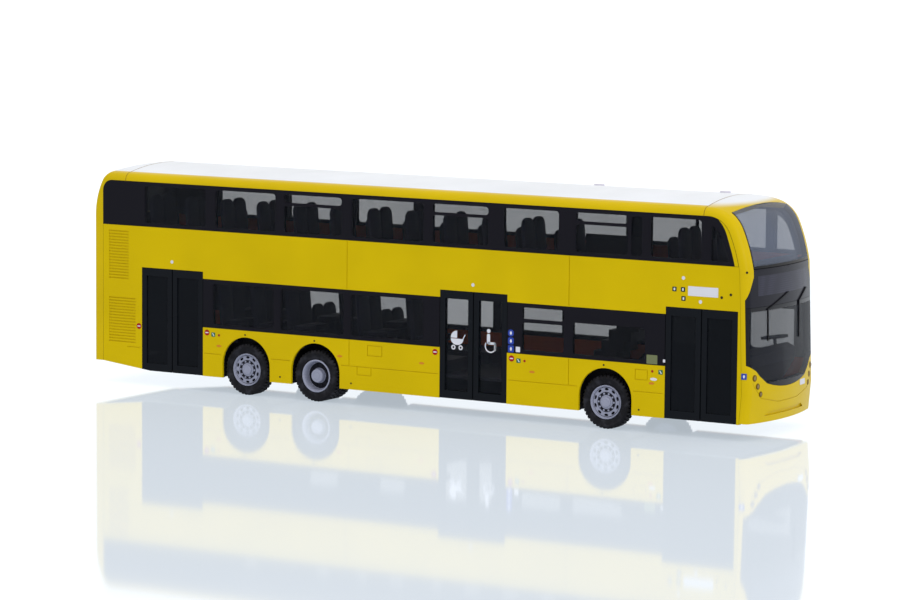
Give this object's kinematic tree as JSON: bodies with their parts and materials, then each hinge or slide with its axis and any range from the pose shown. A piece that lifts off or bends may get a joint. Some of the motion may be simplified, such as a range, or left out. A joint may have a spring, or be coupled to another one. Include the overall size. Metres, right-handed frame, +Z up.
{
  "type": "model double decker bus",
  "caption": "Small plastic display model of a long double-decker city bus with glazed decks, folding-door inserts, seats inside and axles that roll.",
  "frame": {"origin": "middle of the bounding box, on the ground under the tyres", "axes": "+X to the front of the bus, +Y to its left (off) side, +Z up"},
  "size_m": [0.1584, 0.0294, 0.047],
  "materials": {
    "body_yellow": "semi-gloss moulded plastic",
    "roof_white": "semi-gloss moulded plastic",
    "chassis_black": "matt moulded plastic",
    "interior_grey": "matt moulded plastic",
    "seat_blue": "matt moulded plastic",
    "tinted_glazing": "tinted clear plastic with printed black edges",
    "gloss_black": "gloss moulded plastic",
    "door_black": "semi-gloss moulded plastic",
    "lamp_clear": "clear plastic",
    "lamp_red": "clear red plastic",
    "tyre_rubber": "matt",
    "rim_grey": "satin moulded plastic",
    "axle_steel": "drawn wire"
  },
  "bodies": {
    "bus": {"chassis_plate": "chassis_black", "side_panel_right": "body_yellow", "side_panel_left": "body_yellow", "roof_panel": "roof_white", "front_panel": "body_yellow", "rear_panel": "body_yellow", "upper_glazing_right": "tinted_glazing", "upper_glazing_left": "tinted_glazing", "lower_glazing_right_rear": "tinted_glazing", "lower_glazing_right_front": "tinted_glazing", "lower_glazing_left": "tinted_glazing", "driver_window": "tinted_glazing", "windscreen_upper": "tinted_glazing", "front_display": "gloss_black", "windscreen_lower": "tinted_glazing", "rear_window": "tinted_glazing", "rear_display": "gloss_black", "upper_floor": "interior_grey", "upper_seats": "seat_blue", "lower_floor": "interior_grey", "lower_seats": "seat_blue", "staircase": "interior_grey", "driver_seat": "seat_blue", "dashboard": "interior_grey", "steering_wheel": "interior_grey", "wipers": "gloss_black", "headlamps": "lamp_clear", "tail_lamps": "lamp_red", "roof_aerials": "roof_white", "door_rear": "door_black", "door_glass_rear": "tinted_glazing", "door_middle": "door_black", "door_glass_middle": "tinted_glazing", "door_front": "door_black", "door_glass_front": "tinted_glazing"},
    "front_axle_set": {"front_axle": "axle_steel", "tyre_front_right": "tyre_rubber", "rim_front_right": "rim_grey", "tyre_front_left": "tyre_rubber", "rim_front_left": "rim_grey"},
    "drive_axle_set": {"drive_axle": "axle_steel", "tyres_drive_right": "tyre_rubber", "rims_drive_right": "rim_grey", "tyres_drive_left": "tyre_rubber", "rims_drive_left": "rim_grey"},
    "tag_axle_set": {"tag_axle": "axle_steel", "tyre_tag_right": "tyre_rubber", "rim_tag_right": "rim_grey", "tyre_tag_left": "tyre_rubber", "rim_tag_left": "rim_grey"}
  },
  "joints": [
    {"name": "front_axle_spin", "type": "hinge", "parent": "bus", "child": "front_axle_set", "pos_m": [0.04585, 0, 0.0054], "axis": [0, 1, 0], "continuous": true},
    {"name": "drive_axle_spin", "type": "hinge", "parent": "bus", "child": "drive_axle_set", "pos_m": [-0.0228, 0, 0.0054], "axis": [0, 1, 0], "continuous": true},
    {"name": "tag_axle_spin", "type": "hinge", "parent": "bus", "child": "tag_axle_set", "pos_m": [-0.0402, 0, 0.0054], "axis": [0, 1, 0], "continuous": true}
  ]
}
